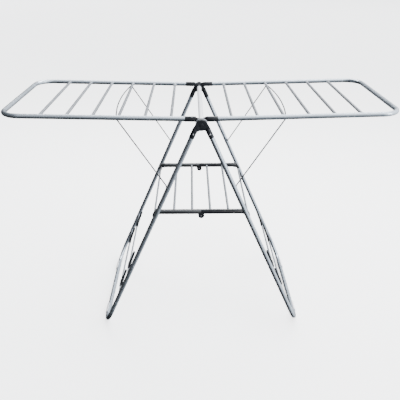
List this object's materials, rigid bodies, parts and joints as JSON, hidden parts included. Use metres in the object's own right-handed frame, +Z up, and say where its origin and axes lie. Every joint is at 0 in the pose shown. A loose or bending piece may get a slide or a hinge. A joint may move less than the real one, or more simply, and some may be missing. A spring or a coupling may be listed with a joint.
{
  "type": "folding clothes drying rack",
  "caption": "Folding clothes drying rack with two hinged wings of rods on crossed U-shaped legs, wire props, a folding lower shelf and pegs for drying shoes.",
  "frame": {"origin": "on the floor, under the middle of the rack's bounding box", "axes": "+Z up, +X to the right along the two wings, +Y to the back along the axle"},
  "size_m": [1.487, 0.628, 0.9557],
  "materials": {
    "tube_paint": "silver-grey paint, semi-gloss",
    "rod_paint": "silver-grey paint, semi-gloss",
    "prop_wire": "silver-grey paint, satin",
    "bare_steel": "plain zinc-plated steel",
    "black_plastic": "moulded black plastic, satin",
    "grey_plastic": "moulded light grey plastic, satin"
  },
  "bodies": {
    "left_leg": {"hub_axle": "bare_steel", "hub_caps": "black_plastic", "hub_collars": "grey_plastic", "hub_tube": "grey_plastic", "left_leg_tube": "tube_paint", "left_leg_bracket_near": "black_plastic", "left_leg_bracket_far": "black_plastic", "left_leg_rivets": "bare_steel", "left_shelf_carrier_rod": "rod_paint", "left_shoe_rod_upper": "rod_paint", "left_shoe_rod_lower": "rod_paint", "left_shoe_peg_upper_near": "black_plastic", "left_shoe_peg_upper_far": "black_plastic", "left_shoe_peg_lower_near": "black_plastic", "left_shoe_peg_lower_far": "black_plastic", "left_feet": "grey_plastic"},
    "right_leg": {"right_leg_tube": "tube_paint", "right_leg_bracket_near": "black_plastic", "right_leg_bracket_far": "black_plastic", "right_leg_rivets": "bare_steel", "right_shelf_carrier_rod": "rod_paint", "right_shoe_rod_upper": "rod_paint", "right_shoe_rod_lower": "rod_paint", "right_shoe_peg_upper_near": "black_plastic", "right_shoe_peg_upper_far": "black_plastic", "right_shoe_peg_lower_near": "black_plastic", "right_shoe_peg_lower_far": "black_plastic", "right_feet": "grey_plastic"},
    "left_wing": {"left_wing_tube": "tube_paint", "left_wing_bracket_near": "black_plastic", "left_wing_bracket_far": "black_plastic", "left_wing_rivets": "bare_steel", "left_wing_rod_1": "rod_paint", "left_wing_rod_2": "rod_paint", "left_wing_rod_3": "rod_paint", "left_wing_rod_4": "rod_paint", "left_wing_rod_5": "rod_paint", "left_wing_rod_6": "rod_paint"},
    "right_wing": {"right_wing_tube": "tube_paint", "right_wing_bracket_near": "black_plastic", "right_wing_bracket_far": "black_plastic", "right_wing_rivets": "bare_steel", "right_wing_rod_1": "rod_paint", "right_wing_rod_2": "rod_paint", "right_wing_rod_3": "rod_paint", "right_wing_rod_4": "rod_paint", "right_wing_rod_5": "rod_paint", "right_wing_rod_6": "rod_paint"},
    "left_prop": {"left_wire_prop": "prop_wire"},
    "right_prop": {"right_wire_prop": "prop_wire"},
    "left_shelf": {"left_shelf_bar_near": "black_plastic", "left_shelf_bar_far": "black_plastic", "left_shelf_rod_1": "rod_paint", "left_shelf_rod_2": "rod_paint", "shelf_pins": "bare_steel"},
    "right_shelf": {"right_shelf_bar_near": "black_plastic", "right_shelf_bar_far": "black_plastic", "right_shelf_rod_1": "rod_paint", "right_shelf_rod_2": "rod_paint"}
  },
  "joints": [
    {"name": "legs_fold", "type": "hinge", "parent": "left_leg", "child": "right_leg", "pos_m": [0, 0, 0.915], "axis": [0, 1, 0], "range_deg": [0, 46]},
    {"name": "left_wing_fold", "type": "hinge", "parent": "left_leg", "child": "left_wing", "pos_m": [0, 0, 0.915], "axis": [0, -1, 0], "range_deg": [0, 63]},
    {"name": "right_wing_fold", "type": "hinge", "parent": "right_leg", "child": "right_wing", "pos_m": [0, 0, 0.915], "axis": [0, 1, 0], "range_deg": [0, 63]},
    {"name": "left_prop_swing", "type": "hinge", "parent": "left_leg", "child": "left_prop", "pos_m": [-0.13531, 0, 0.6578], "axis": [0, -1, 0], "range_deg": [0, 118]},
    {"name": "right_prop_swing", "type": "hinge", "parent": "right_leg", "child": "right_prop", "pos_m": [0.13531, 0, 0.6578], "axis": [0, 1, 0], "range_deg": [0, 118]},
    {"name": "left_shelf_lift", "type": "hinge", "parent": "left_leg", "child": "left_shelf", "pos_m": [-0.1885, 0, 0.52604], "axis": [0, -1, 0], "range_deg": [0, 60.5]},
    {"name": "right_shelf_fold", "type": "hinge", "parent": "left_shelf", "child": "right_shelf", "pos_m": [0, 0, 0.52604], "axis": [0, 1, 0], "range_deg": [0, 166.94]}
  ],
  "couplings": [
    {"joint": "left_prop_swing", "follows": "left_wing_fold", "ratio": 1.8651},
    {"joint": "right_prop_swing", "follows": "right_wing_fold", "ratio": 1.8651},
    {"joint": "left_shelf_lift", "follows": "legs_fold", "ratio": 1.3139},
    {"joint": "right_shelf_fold", "follows": "legs_fold", "ratio": 3.6278}
  ]
}
